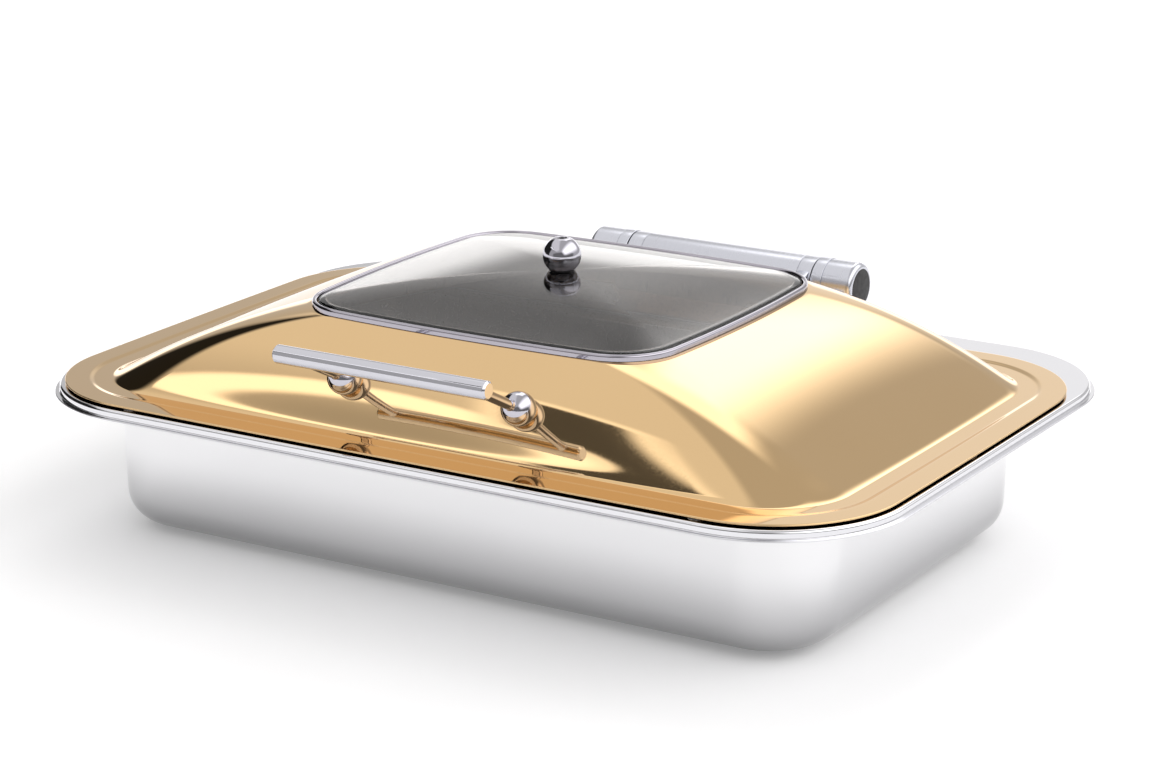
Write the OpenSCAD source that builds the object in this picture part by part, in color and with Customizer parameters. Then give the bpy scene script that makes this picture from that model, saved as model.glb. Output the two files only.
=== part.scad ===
// Roll top chafer: a rectangular water pan with a framed top, a gravity food pan inside it,
// and a domed lid with a glass window that swings up on a damped hinge at the back.
// Millimetres. X runs left to right, -Y is the handle side, Z is up.
// Every module is drawn about the middle of the closed lid, with Z = 0 on the deck of the
// top frame, and placed() then moves it so that the origin is on the table under the middle.

/* [Lid] */
// Length of the lid over its flange
lid_length = 580; // [560:1:600]
// Depth of the lid over its flange, front to back
lid_depth = 383; // [370:1:396]
// Corner radius of the lid flange in plan
lid_corner = 81; // [70:1:90]
// Thickness of the lid sheet
lid_sheet = 1.2; // [1:0.1:1.5]
// Rise of the dome before its foot is rounded off
dome_rise = 58.3; // [50:0.1:66]
// Fullness of the dome: 0 is a straight slope, 1 is level at the window
dome_fullness = 0.42; // [0.1:0.01:0.7]

/* [Window] */
// Length of the window over its trim
window_length = 263; // [230:1:270]
// Depth of the window over its trim
window_depth = 239; // [215:1:245]
// Corner radius of the window trim
window_corner = 40; // [30:1:48]
// Bow of the window's sides
window_bow = 3; // [1:0.1:5]
// Thickness of the glass
glass_thickness = 4; // [3:0.5:5]
// Rise of the glass from its edge to its middle
glass_rise = 12.6; // [8:0.1:13]

/* [Knob and handle] */
// Radius of the ball knob
knob_r = 12.2; // [10:0.1:14]
// Height of the knob's centre over the glass
knob_height = 9.4; // [9:0.1:11]
// Half the length of the handle bar
bar_half = 74.5; // [70:0.5:90]
// Radius of the handle bar
bar_r = 5.7; // [4.5:0.1:7]
// Distance of the bar's axis in front of the lid's middle
bar_reach = 200; // [194:0.5:215]
// Height of the bar's axis over the deck
bar_height = 57.5; // [45:0.5:65]
// Half the distance between the handle's ball feet
ball_half_spacing = 62; // [50:0.5:66]
// Radius of the handle's ball feet
ball_r = 10.6; // [8:0.1:12]
// Radius of the handle's posts
post_r = 3.2; // [2.5:0.1:4]

/* [Hinge] */
// Distance of the hinge axis behind the lid's middle
hinge_back = 215; // [212:0.5:218]
// Height of the hinge axis over the deck
hinge_height = 26; // [25:0.5:28]
// Outer radius of the hinge tube
tube_r = 17; // [16:0.1:18]
// Radius of the hinge shaft
shaft_r = 6; // [5:0.1:7]
// Radial running clearance on the shaft
shaft_play = 0.05; // [0.02:0.01:0.09]

/* [Base] */
// Height of the deck over the table
deck_height = 97; // [90:0.5:120]
// Overhang of the frame's lip outside the lid flange
frame_overhang = 6.2; // [4:0.1:9]
// Distance from the lid's middle back to the frame's rear lip
frame_back = 226.2; // [222:0.1:228]
// Depth of the water pan's outside below the deck
pan_depth = 93.3; // [86:0.1:95]
// Inset of the water pan's wall from the lid flange
pan_inset = 34; // [33:0.5:36]
// Depth of the food pan under its rim
food_depth = 65; // [40:1:68]

/* [Hidden] */
$fn = 64;

// Half sizes in plan
lid_x = lid_length / 2;
lid_y = lid_depth / 2;
window_x = window_length / 2;
window_y = window_depth / 2;
frame_x = lid_x + frame_overhang;
frame_y = (lid_y + frame_overhang + frame_back) / 2;
frame_mid = (frame_back - lid_y - frame_overhang) / 2;
frame_corner = lid_corner + frame_overhang + 1.3;
pan_x = lid_x - pan_inset;
pan_y = lid_y - pan_inset;
pan_corner = lid_corner - pan_inset + 2;

// The overall box runs from the front of the handle bar to the back of the hinge tube
box_mid = (hinge_back + tube_r - bar_reach - bar_r) / 2;

// Lid flange: an outer rim that stands off the deck, a step, and an inner seat
lid_bow = 0.6;
rim_bottom = 1.2;
seat_bottom = 0.4;
rim_width = 14.5;
seat_start = 19.5;
dome_foot = 29;
edge_round = 0.6;
foot_round = 2.5;
mid_square = 14;
mid_bow = 2;
dome_rings = 12;
corner_steps = 8;
side_steps = 2;

// Window seat
trim_width = 3.4;
ledge_drop = 1.3;
ledge_start = 3.8;
ledge_width = 8;
glass_inset = 4.7;
glass_rings = 4;

// Sheet and food pan
sheet = 1.2;
recess_x = 266.5;
recess_y = 164;
recess_corner = 56.5;
recess_depth = 4.5;
ledge = 14;
food_x = 250;
food_y = 147.5;
food_corner = 40;
food_rim = 15;
food_sheet = 0.9;

// Hinge, outwards from the middle
barrel_end = 60.4;
arm_in = 60.6;
arm_out = 71.1;
collar_in = 71.9;
collar_out = 79.9;
housing_out = 102;
shaft_end = 92;
spigot_r = 15;
core_r = 12;
arm_mid = 66;
arm_width = 9;
arm_u = 0.22;
screw_r = 2;
hole_r = 2.2;
plate_gap = 0.25;

steel = [0.80, 0.81, 0.84];
gold = [0.83, 0.66, 0.42];
dark = [0.08, 0.08, 0.09];

// Moves a piece from its drawing place to its place over the table
module placed() {
    translate([0, -box_mid, deck_height]) children();
}

// One corner point list of a rounded rectangle with slightly bowed sides: from the middle of
// the +X side to the middle of the +Y side. b is the bow.
function quarter(hx, hy, r, b) =
    let (a = r + b, cx = hx - a, cy = hy - a)
    let (rx = (cx * cx + a * a - r * r) / (2 * b), ry = (cy * cy + a * a - r * r) / (2 * b))
    let (ax = asin(cx / (rx - r)), ay = asin(cy / (ry - r)))
    concat(
        [for (i = [0:side_steps - 1]) let (t = ay * i / side_steps)
            [hx - ry + ry * cos(t), ry * sin(t)]],
        [for (i = [0:corner_steps - 1]) let (t = ay + (90 - ax - ay) * i / corner_steps)
            [cx + r * cos(t), cy + r * sin(t)]],
        [for (i = [0:side_steps]) let (t = 90 - ax + ax * i / side_steps)
            [rx * cos(t), hy - rx + rx * sin(t)]]);

// The whole outline, anticlockwise
function outline(hx, hy, r, b) =
    let (q = quarter(hx, hy, r, b), n = len(q) - 1)
    concat(
        [for (i = [0:n - 1]) q[i]],
        [for (i = [n:-1:1]) [-q[i][0], q[i][1]]],
        [for (i = [0:n - 1]) -q[i]],
        [for (i = [n:-1:1]) [q[i][0], -q[i][1]]]);

// A ring of points at a station [half x, half y, corner radius, bow, height]
function ring(s) = [for (p = outline(s[0], s[1], s[2], s[3])) [p[0], p[1], s[4]]];

// Stations of the lid: d is the inset from the flange's edge
function flange_station(d, z) = [lid_x - d, lid_y - d, lid_corner - d, lid_bow, z];
function window_station(d, z) =
    [window_x - d, window_y - d, window_corner - d, window_bow, z];

function mix(a, b, u) = a + (b - a) * u;
function swell(u) = 4 * u * (1 - u);
seat_top = seat_bottom + lid_sheet;

// Height of the dome at u, from 0 at its foot to 1 at the window
function straight_rise(u) = dome_rise * ((1 + dome_fullness) * u - dome_fullness * u * u);
function dome_z(u) =
    let (rise = straight_rise(u)) seat_top + rise * rise / (rise + foot_round);
function dome_x(u) = mix(lid_x - dome_foot, window_x, u);
function dome_y(u) = mix(lid_y - dome_foot, window_y, u);
function dome_r(u) = mix(lid_corner - dome_foot, window_corner, u) - mid_square * swell(u);
function dome_b(u) = mix(lid_bow, window_bow, u) + mid_bow * swell(u);

// Angle of the front slope at u
slope_step = 0.01;
function slope(u) =
    atan2(dome_z(u + slope_step) - dome_z(u - slope_step), dome_y(u - slope_step) - dome_y(u + slope_step));

// A dome station moved inwards through the sheet by depth t
function dome_station(u, t) =
    let (a = slope(u), s = t * sin(a))
    [dome_x(u) - s, dome_y(u) - s, dome_r(u) - s, dome_b(u), dome_z(u) - t * cos(a)];

// Where the front side of the dome at u passes a given x: distance from the lid's middle
function side_y(u, x) =
    let (b = dome_b(u), r = dome_r(u), a = r + b, cx = dome_x(u) - a)
    let (rx = (cx * cx + a * a - r * r) / (2 * b))
    dome_y(u) - rx + sqrt(rx * rx - x * x);

window_top = dome_z(1);
ledge_top = window_top - ledge_drop;
glass_bottom = ledge_top + 0.75;
glass_edge = glass_bottom + glass_thickness;
glass_top = glass_edge + glass_rise;

// Skins a closed loop of rings
module skin(stations) {
    rings = [for (s = stations) ring(s)];
    n = len(rings[0]);
    m = len(rings);
    points = [for (r = rings) each r];
    faces = [for (j = [0:m - 1]) for (i = [0:n - 1])
        [j * n + i, j * n + (i + 1) % n, ((j + 1) % m) * n + (i + 1) % n, ((j + 1) % m) * n + i]];
    polyhedron(points, faces, convexity = 6);
}

// Skins a stack of rings and closes it at a middle point above and below
module capped_skin(stations, top_z, bottom_z) {
    rings = [for (s = stations) ring(s)];
    n = len(rings[0]);
    m = len(rings);
    points = concat([for (r = rings) each r], [[0, 0, top_z], [0, 0, bottom_z]]);
    sides = [for (j = [0:m - 2]) for (i = [0:n - 1])
        [j * n + i, j * n + (i + 1) % n, (j + 1) * n + (i + 1) % n, (j + 1) * n + i]];
    top = [for (i = [0:n - 1]) [i, m * n, (i + 1) % n]];
    bottom = [for (i = [0:n - 1]) [(m - 1) * n + i, (m - 1) * n + (i + 1) % n, m * n + 1]];
    polyhedron(points, concat(sides, top, bottom), convexity = 4);
}

// A rounded rectangle in plan, and a plate of it
module rounded_plan(hx, hy, r) {
    square([2 * hx, 2 * (hy - r)], center = true);
    square([2 * (hx - r), 2 * hy], center = true);
    for (sx = [-1, 1]) for (sy = [-1, 1])
        translate([sx * (hx - r), sy * (hy - r)]) circle(r);
}
module plate(hx, hy, r, z, t) {
    translate([0, 0, z]) linear_extrude(t) rounded_plan(hx, hy, r);
}

// Sweeps a profile round a rounded rectangle. The profile's x is the distance outside the
// path and its y is the height.
module frame_sweep(hx, hy, r) {
    for (k = [0:3]) {
        across = (k % 2 == 0) ? hx : hy;
        along = (k % 2 == 0) ? hy - r : hx - r;
        rotate([0, 0, 90 * k]) {
            translate([across, 0, 0]) rotate([90, 0, 0])
                linear_extrude(2 * along, center = true) children();
            translate([across - r, along, 0]) rotate_extrude(angle = 90)
                translate([r, 0]) children();
        }
    }
}

// Profile of a drawn pan's wall: it leans in by the draft angle and turns into the bottom
// on a round of radius r, with a short flat that laps the bottom plate. Its top outer edge
// is at [0, 0].
bottom_lap = 0.5;
arc_steps = 12;
function wall_centre(depth, r, draft) = -(depth - r + r * sin(draft)) * tan(draft) - r * cos(draft);
module pan_wall(depth, r, draft, t) {
    c = [wall_centre(depth, r, draft), r - depth];
    turn = [for (k = [0:arc_steps]) draft + (90 - draft) * k / arc_steps];
    outer = [for (k = [0:arc_steps]) c + r * [cos(turn[k]), -sin(turn[k])]];
    inner = [for (k = [arc_steps:-1:0]) c + (r - t) * [cos(turn[k]), -sin(turn[k])]];
    low_in = inner[arc_steps];
    polygon(concat([[0, 0]], outer, [c + [-bottom_lap, -r], c + [-bottom_lap, t - r]], inner,
        [[low_in[0] - tan(draft) * low_in[1], 0]]));
}

// A cylinder along X from x0 to x1, on the hinge axis
module on_hinge(x0, x1, r) {
    translate([x0, hinge_back, hinge_height]) rotate([0, 90, 0]) cylinder(h = x1 - x0, r = r);
}

// A rod in a plane of constant x from point p to point q
module rod(p, q, r) {
    v = q - p;
    translate(p) rotate([atan2(-v[1], v[2]), 0, 0]) cylinder(h = norm(v), r = r);
}

// Mirrors a right-hand piece to the left
module on_side(s) {
    if (s > 0) children();
    else mirror([1, 0, 0]) children();
}

/* ---- Base ---- */

base_t = deck_height - pan_depth;
pan_round = 22;
pan_draft = 2.3;
flange_z = -recess_depth - sheet;

// Bonded plate that an induction hob heats
module induction_base() {
    inset = 33;
    color([0.55, 0.56, 0.58]) placed() {
        plate(pan_x - inset, pan_y - inset, pan_corner - inset + 8, -deck_height + 0.8, base_t - 0.8);
        plate(pan_x - inset - 1, pan_y - inset - 1, pan_corner - inset + 7, -deck_height, 0.8);
    }
}

// Deep drawn tub that holds the water
module water_pan() {
    depth = pan_depth + flange_z;
    cx = wall_centre(depth, pan_round, pan_draft);
    flange = 16;
    color(steel) placed() {
        translate([0, 0, flange_z]) {
            frame_sweep(pan_x, pan_y, pan_corner) {
                pan_wall(depth, pan_round, pan_draft, sheet);
                translate([-sheet / 2, -sheet]) square([flange + sheet / 2, sheet]);
            }
            plate(pan_x + cx, pan_y + cx, pan_corner + cx, -depth, sheet);
        }
    }
}

// Polished frame round the top: the deck that the lid closes on, its turned-down edge with
// a small lip, and the recess that carries the food pan's rim
module top_frame() {
    bend = 2;
    wall_in = 4.1;
    wall_out = wall_in - sheet;
    flat_edge = wall_out + bend;
    lip_top = -5;
    lip_t = 1.1;
    skirt = 10;
    color(steel) placed() difference() {
        union() {
            translate([0, frame_mid, 0]) {
                frame_sweep(frame_x, frame_y, frame_corner) {
                    translate([-flat_edge, -bend]) intersection() {
                        difference() {
                            circle(bend);
                            circle(bend - sheet);
                        }
                        square(bend);
                    }
                    translate([-wall_in, lip_top - lip_t]) square([sheet, -bend - lip_top + lip_t]);
                    translate([-wall_in, lip_top - lip_t]) square([wall_in - lip_t / 2, lip_t]);
                    translate([-lip_t / 2, lip_top - lip_t / 2]) circle(lip_t / 2);
                }
            }
            difference() {
                translate([0, frame_mid, 0])
                    plate(frame_x - flat_edge, frame_y - flat_edge, frame_corner - flat_edge, -sheet, sheet);
                plate(recess_x, recess_y, recess_corner, -2 * sheet, 3 * sheet);
            }
            frame_sweep(recess_x, recess_y, recess_corner) {
                translate([0, -recess_depth - sheet]) square([sheet, recess_depth]);
                translate([-ledge, -recess_depth - sheet]) square([ledge, sheet]);
                translate([-ledge - sheet, -skirt]) square([sheet, skirt - recess_depth]);
            }
        }
        for (s = [-1, 1]) for (y = bracket_screw_y) translate([s * bracket_x, y, -3 * sheet])
            cylinder(h = 4 * sheet, r = hole_r);
    }
}

// Full-size gravity food pan, which hangs by its rim and lifts out
module food_pan() {
    rim_top = -1.5;
    draft = 3;
    round_r = 14;
    hem = 2.8;
    cx = wall_centre(food_depth, round_r, draft);
    color([0.72, 0.73, 0.75]) placed() translate([0, 0, rim_top]) {
        frame_sweep(food_x, food_y, food_corner) {
            pan_wall(food_depth, round_r, draft, food_sheet);
            translate([-food_sheet / 2, -food_sheet]) square([food_rim + food_sheet / 2, food_sheet]);
            translate([food_rim - food_sheet, -hem]) square([food_sheet, hem]);
        }
        plate(food_x + cx, food_y + cx, food_corner + cx, -food_depth, food_sheet);
    }
}

/* ---- Fixed half of the hinge ---- */

bracket_x = 89;
bracket_w = 12;
bracket_front = 204;
bracket_back = 220;
bracket_screw_y = [208, 216];
backing_t = 2;

// Strip under the deck that the brackets are screwed to
module hinge_backing_plate() {
    half = 102;
    color("gray") placed() difference() {
        translate([-half, bracket_front, -sheet - backing_t])
            cube([2 * half, bracket_back - bracket_front, backing_t]);
        for (s = [-1, 1]) for (y = bracket_screw_y)
            translate([s * bracket_x, y, -sheet - 2 * backing_t]) cylinder(h = 3 * backing_t, r = hole_r);
    }
}

// Saddle block between the deck and the tube's fixed end
module hinge_bracket(s) {
    color(steel) placed() on_side(s) difference() {
        translate([bracket_x - bracket_w / 2, bracket_front, 0])
            cube([bracket_w, bracket_back - bracket_front, hinge_height - tube_r + 4]);
        on_hinge(bracket_x - bracket_w, bracket_x + bracket_w, tube_r);
        for (y = bracket_screw_y) translate([bracket_x, y, -1]) cylinder(h = 7, r = screw_r);
    }
}
module hinge_bracket_left() hinge_bracket(-1);
module hinge_bracket_right() hinge_bracket(1);

// Screws that hold the brackets from under the deck
module hinge_bracket_screws() {
    head_h = 2.3;
    seat = -sheet - backing_t;
    color("silver") placed() for (s = [-1, 1]) for (y = bracket_screw_y)
        translate([s * bracket_x, y, 0]) {
            translate([0, 0, seat - head_h]) cylinder(h = head_h, r = 3.8);
            translate([0, 0, seat - 0.1]) cylinder(h = 5.5 - seat, r = screw_r);
        }
}

// Fixed end of the hinge tube, with a rounded outer edge
module hinge_housing(s) {
    edge_r = 4;
    cap_depth = 2.5;
    color(steel) placed() on_side(s) difference() {
        union() {
            on_hinge(collar_in, collar_out + 0.1, core_r + 2);
            translate([0, hinge_back, hinge_height]) rotate([0, 90, 0]) rotate_extrude() {
                translate([0, collar_out + 0.1]) square([tube_r, housing_out - edge_r - collar_out - 0.1]);
                translate([0, housing_out - 2 * edge_r]) square([tube_r - edge_r, 2 * edge_r]);
                translate([tube_r - edge_r, housing_out - edge_r]) circle(edge_r);
            }
        }
        on_hinge(collar_in - 1, shaft_end, shaft_r);
        on_hinge(housing_out - cap_depth, housing_out + 1, cap_r);
    }
}
module hinge_housing_left() hinge_housing(-1);
module hinge_housing_right() hinge_housing(1);

// Dark plug in the end of the tube
cap_r = 12.9;
module hinge_end_cap(s) {
    color(dark) placed() on_side(s) on_hinge(housing_out - 2.5, housing_out + 0.3, cap_r);
}
module hinge_end_cap_left() hinge_end_cap(-1);
module hinge_end_cap_right() hinge_end_cap(1);

// Ring that covers the joint between the fixed end and the turning tube
module hinge_collar(s) {
    color(steel) placed() on_side(s) difference() {
        on_hinge(collar_in, collar_out, tube_r + 0.4);
        on_hinge(collar_in - 1, collar_out + 1, core_r + 2);
    }
}
module hinge_collar_left() hinge_collar(-1);
module hinge_collar_right() hinge_collar(1);

// Black nylon washers in the two running gaps
module thrust_washers() {
    color(dark) placed() for (s = [-1, 1]) on_side(s) difference() {
        on_hinge(arm_out + 0.2, collar_in, tube_r - 0.7);
        on_hinge(arm_out - 1, collar_in + 1, shaft_r);
    }
}

// Fixed shaft that the tube turns on
module hinge_shaft() {
    color("gray") placed() on_hinge(-shaft_end, shaft_end, shaft_r);
}

/* ---- Lid ---- */

// Handle geometry: a point of the front slope, its outward normal, and the ball on it
handle_u = 0.4;
ball_seat = 5.6;
handle_slope = slope(handle_u);
handle_normal = [0, -sin(handle_slope), cos(handle_slope)];
function handle_foot(s) = [s * ball_half_spacing, -side_y(handle_u, ball_half_spacing), dome_z(handle_u)];
function ball_centre(s) = handle_foot(s) + handle_normal * ball_seat;
function bar_point(s) = [s * ball_half_spacing, -bar_reach, bar_height];
function post_axis(s) = (bar_point(s) - ball_centre(s)) / norm(bar_point(s) - ball_centre(s));

// Arm geometry: a point of the rear slope and its outward normal
arm_slope = slope(arm_u);
arm_foot_y = side_y(arm_u, arm_mid);
arm_foot_z = dome_z(arm_u);
arm_screw_x = [arm_mid - 9.5, arm_mid + 9.5];
module on_rear_slope() {
    translate([0, arm_foot_y, arm_foot_z]) rotate([-arm_slope, 0, 0]) children();
}

// Gold lid: flange, dome and window seat in one drawn sheet
module lid_shell() {
    t = lid_sheet;
    rim_top = rim_bottom + t;
    half_edge = edge_round * 0.3;
    us = [for (k = [0:dome_rings]) pow(k / dome_rings, 1.4)];
    top = concat(
        [flange_station(0, rim_bottom + t / 2), flange_station(half_edge, rim_top - half_edge)],
        [flange_station(edge_round, rim_top), flange_station(rim_width, rim_top)],
        [flange_station(rim_width + 1, rim_top - 0.1), flange_station(seat_start - 1, seat_top + 0.1)],
        [flange_station(seat_start, seat_top)],
        [for (u = us) dome_station(u, 0)],
        [window_station(ledge_start - 0.6, window_top), window_station(ledge_start, ledge_top)],
        [window_station(ledge_width, ledge_top)]);
    under = concat(
        [flange_station(half_edge, rim_bottom + half_edge), flange_station(edge_round, rim_bottom)],
        [flange_station(rim_width - 0.5, rim_bottom), flange_station(rim_width + 0.5, rim_bottom - 0.1)],
        [flange_station(seat_start - 1.5, seat_bottom + 0.1), flange_station(seat_start - 0.5, seat_bottom)],
        [for (u = us) dome_station(u, t)],
        [window_station(ledge_start - t, ledge_top - t), window_station(ledge_width, ledge_top - t)]);
    color(gold) placed() difference() {
        skin(concat(top, [for (i = [len(under) - 1:-1:0]) under[i]]));
        for (s = [-1, 1]) {
            rod(handle_foot(s) - 4 * handle_normal, handle_foot(s) + 3 * handle_normal, hole_r);
            on_rear_slope() for (x = arm_screw_x) translate([s * x, 0, -4]) cylinder(h = 8, r = hole_r);
        }
    }
}

// Slightly domed tempered glass, drilled for the knob
module window_glass() {
    x = window_x - glass_inset;
    y = window_y - glass_inset;
    r = window_corner - glass_inset;
    function pane(f, z) = [x * f, y * f, r * f, window_bow * f, z];
    color([0.5, 0.5, 0.5, 0.5]) placed() difference() {
        capped_skin(concat(
            [for (k = [1:glass_rings]) let (f = k / glass_rings)
                pane(f, glass_top - glass_rise * f * f)],
            [for (k = [glass_rings:-1:1]) let (f = k / glass_rings)
                pane(f, glass_top - glass_thickness - glass_rise * f * f)]),
            glass_top, glass_top - glass_thickness);
        translate([0, 0, glass_top - 2 * glass_thickness]) cylinder(h = 3 * glass_thickness, r = 3.2);
    }
}

// Black silicone seal under and round the glass: an L in section
module window_gasket() {
    base_z = ledge_top + 0.1;
    lap_z = glass_bottom - 0.05;
    lip_z = glass_edge - 0.4;
    out = ledge_start + 0.2;
    lip_in = glass_inset - 0.05;
    color(dark) placed() skin([
        window_station(out, base_z), window_station(out, lip_z), window_station(lip_in, lip_z),
        window_station(lip_in, lap_z), window_station(ledge_width, lap_z), window_station(ledge_width, base_z)]);
}

// Polished ring that frames the glass: flat below, round above
module window_trim() {
    bar = 2.1;
    half = trim_width / 2;
    low = window_top + 0.1;
    turns = 6;
    color(steel) placed() skin(concat(
        [window_station(-0.2, low)],
        [for (k = [0:turns]) let (t = 180 * k / turns)
            window_station(half - 0.2 - half * cos(t), low + bar + half * sin(t))],
        [window_station(trim_width - 0.2, low)]));
}

knob_centre = glass_top + knob_height;
washer_t = 0.8;
under_glass = glass_top - glass_thickness - 0.3;
knob_foot = glass_top + washer_t;

// Ball knob with a flat foot, a flat on top and a socket for its bolt
module knob_ball() {
    flat = 11.2;
    color(steel) placed() difference() {
        intersection() {
            translate([0, 0, knob_centre]) sphere(knob_r);
            translate([0, 0, knob_foot]) cylinder(h = knob_centre + flat - knob_foot, r = 2 * knob_r);
        }
        translate([0, 0, knob_foot - 1]) cylinder(h = 2 * knob_r + 2, r = 2.5);
        translate([0, 0, knob_centre + flat - 3.5]) cylinder(h = 5, r = 3);
    }
}
// Silicone washers over and under the glass
module knob_washers() {
    color(dark) placed() for (z = [glass_top, under_glass - washer_t]) translate([0, 0, z]) difference() {
        cylinder(h = washer_t, r = 8);
        translate([0, 0, -1]) cylinder(h = 3, r = 2.5);
    }
}
module knob_bolt() {
    head_top = knob_centre + 10.7;
    head_h = 3;
    color(dark) placed() difference() {
        union() {
            translate([0, 0, head_top - head_h]) cylinder(h = head_h, r = 3);
            translate([0, 0, glass_top - 10]) cylinder(h = head_top - head_h - glass_top + 10.1, r = 2.5);
        }
        translate([0, 0, head_top - 2]) cylinder(h = 3, r = 1.5, $fn = 6);
    }
}
module knob_nut() {
    nut_top = under_glass - washer_t;
    color("silver") placed() translate([0, 0, nut_top - 4]) difference() {
        cylinder(h = 4, r = 4.6, $fn = 6);
        translate([0, 0, -1]) cylinder(h = 6, r = 2.5);
    }
}

socket_depth = 5;
post_stop = 2;
module post_shape(s) {
    rod(ball_centre(s) + socket_depth * post_axis(s), bar_point(s) - post_stop * post_axis(s), post_r);
}

// Straight bar with chamfered ends, bored for its posts
module handle_bar() {
    chamfer = 1.2;
    color(steel) placed() difference() {
        translate([0, -bar_reach, bar_height]) rotate([0, 90, 0]) rotate_extrude()
            polygon([[0, -bar_half], [bar_r - chamfer, -bar_half], [bar_r, -bar_half + chamfer],
                [bar_r, bar_half - chamfer], [bar_r - chamfer, bar_half], [0, bar_half]]);
        for (s = [-1, 1]) post_shape(s);
    }
}
module handle_post(s) {
    color(steel) placed() post_shape(s);
}
module handle_post_left() handle_post(-1);
module handle_post_right() handle_post(1);

// Ball foot, flat where it sits on the lid
module handle_ball(s) {
    c = ball_centre(s);
    color(steel) placed() difference() {
        translate(c) sphere(ball_r);
        rod(c - 2 * ball_r * handle_normal, c - (ball_seat - 0.1) * handle_normal, 2 * ball_r);
        rod(c - 2 * ball_r * handle_normal, c - 2 * handle_normal, screw_r);
        post_shape(s);
    }
}
module handle_ball_left() handle_ball(-1);
module handle_ball_right() handle_ball(1);

// Washers and screws inside the lid, which hold the ball feet
handle_washer_in = 1.7;
module handle_washers() {
    color("silver") placed() for (s = [-1, 1]) difference() {
        rod(handle_foot(s) - (handle_washer_in + 1) * handle_normal,
            handle_foot(s) - handle_washer_in * handle_normal, 5);
        rod(handle_foot(s) - 4 * handle_normal, handle_foot(s), screw_r);
    }
}
module handle_screws() {
    head_in = handle_washer_in + 1;
    color("silver") placed() for (s = [-1, 1]) {
        rod(handle_foot(s) - (head_in + 2.4) * handle_normal, handle_foot(s) - head_in * handle_normal, 3.8);
        rod(handle_foot(s) - (head_in + 0.1) * handle_normal, ball_centre(s) - 2 * handle_normal, screw_r);
    }
}

/* ---- Turning half of the hinge ---- */

module hinge_barrel() {
    color(steel) placed() difference() {
        union() {
            on_hinge(-barrel_end, barrel_end, tube_r);
            on_hinge(-arm_out, arm_out, spigot_r);
        }
        on_hinge(-arm_out - 1, arm_out + 1, core_r);
    }
}

// Arm: a ring on the barrel, a bar forward to the lid, and a foot on the lid's rear slope
module hinge_arm(s) {
    foot_t = 2.5;
    foot_w = 28;
    foot_l = 18;
    n = [sin(arm_slope), cos(arm_slope)];
    along = [cos(arm_slope), -sin(arm_slope)];
    root = [arm_foot_y, arm_foot_z] + (plate_gap + foot_t / 2) * n;
    color(steel) placed() on_side(s) difference() {
        union() {
            on_hinge(arm_in, arm_out, tube_r);
            translate([arm_mid - arm_width / 2, 0, 0]) rotate([90, 0, 90]) linear_extrude(arm_width)
                polygon([root - 6 * along, [hinge_back - 12, hinge_height + 10.5],
                    [hinge_back - 14, hinge_height - 8], root + 6 * along]);
            on_rear_slope() translate([arm_mid - foot_w / 2, -foot_l / 2, plate_gap])
                cube([foot_w, foot_l, foot_t]);
        }
        on_hinge(arm_in - 1, arm_out + 1, spigot_r);
        on_rear_slope() for (x = arm_screw_x) translate([x, 0, -1]) cylinder(h = 6, r = screw_r);
    }
}
module hinge_arm_left() hinge_arm(-1);
module hinge_arm_right() hinge_arm(1);

// Threaded plates inside the lid behind the arm feet
arm_plate_in = lid_sheet + 0.6;
arm_plate_t = 2;
module arm_backing_plates() {
    color("gray") placed() for (s = [-1, 1]) on_side(s) on_rear_slope() difference() {
        translate([arm_mid - 15, -7, -arm_plate_in - arm_plate_t]) cube([30, 14, arm_plate_t]);
        for (x = arm_screw_x) translate([x, 0, -6]) cylinder(h = 6, r = screw_r);
    }
}
module arm_screws() {
    head_at = plate_gap + 2.5;
    bottom = -arm_plate_in - arm_plate_t;
    color("silver") placed() for (s = [-1, 1]) on_side(s) on_rear_slope()
        for (x = arm_screw_x) translate([x, 0, 0]) {
            translate([0, 0, bottom]) cylinder(h = head_at - bottom + 0.1, r = screw_r);
            translate([0, 0, head_at]) cylinder(h = 2.2, r = 3.6);
        }
}

// Oil-filled rotary dampers inside the barrel
module damper(s) {
    color("dimgray") placed() on_side(s) difference() {
        on_hinge(14, 57, core_r);
        on_hinge(13, 58, shaft_r + shaft_play);
    }
}
module damper_left() damper(-1);
module damper_right() damper(1);

module barrel_bushes() {
    color("goldenrod") placed() for (s = [-1, 1]) on_side(s) difference() {
        on_hinge(58, arm_out, core_r);
        on_hinge(57, arm_out + 1, shaft_r + shaft_play);
    }
}

// Silicone pads under the flange's rim, which keep the lid off the deck
module lid_bumpers() {
    inset = 8;
    places = [[lid_x - inset, 0], [-lid_x + inset, 0], [200, lid_y - inset], [-200, lid_y - inset],
        [200, -lid_y + inset], [-200, -lid_y + inset]];
    color("white") placed() for (p = places) translate([p[0], p[1], 0.1])
        cylinder(h = rim_bottom - 0.1, r = 4.5);
}

induction_base();
water_pan();
top_frame();
food_pan();
hinge_backing_plate();
hinge_bracket_left();
hinge_bracket_right();
hinge_bracket_screws();
hinge_housing_left();
hinge_housing_right();
hinge_end_cap_left();
hinge_end_cap_right();
hinge_collar_left();
hinge_collar_right();
thrust_washers();
hinge_shaft();
lid_shell();
window_glass();
window_gasket();
window_trim();
knob_ball();
knob_washers();
knob_bolt();
knob_nut();
handle_bar();
handle_post_left();
handle_post_right();
handle_ball_left();
handle_ball_right();
handle_washers();
handle_screws();
hinge_barrel();
hinge_arm_left();
hinge_arm_right();
arm_backing_plates();
arm_screws();
damper_left();
damper_right();
barrel_bushes();
lid_bumpers();
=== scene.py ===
from math import asin, atan2, cos, degrees, pi, radians, sin, sqrt, tan

import bmesh
import bpy
from mathutils import Matrix, Vector


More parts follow.
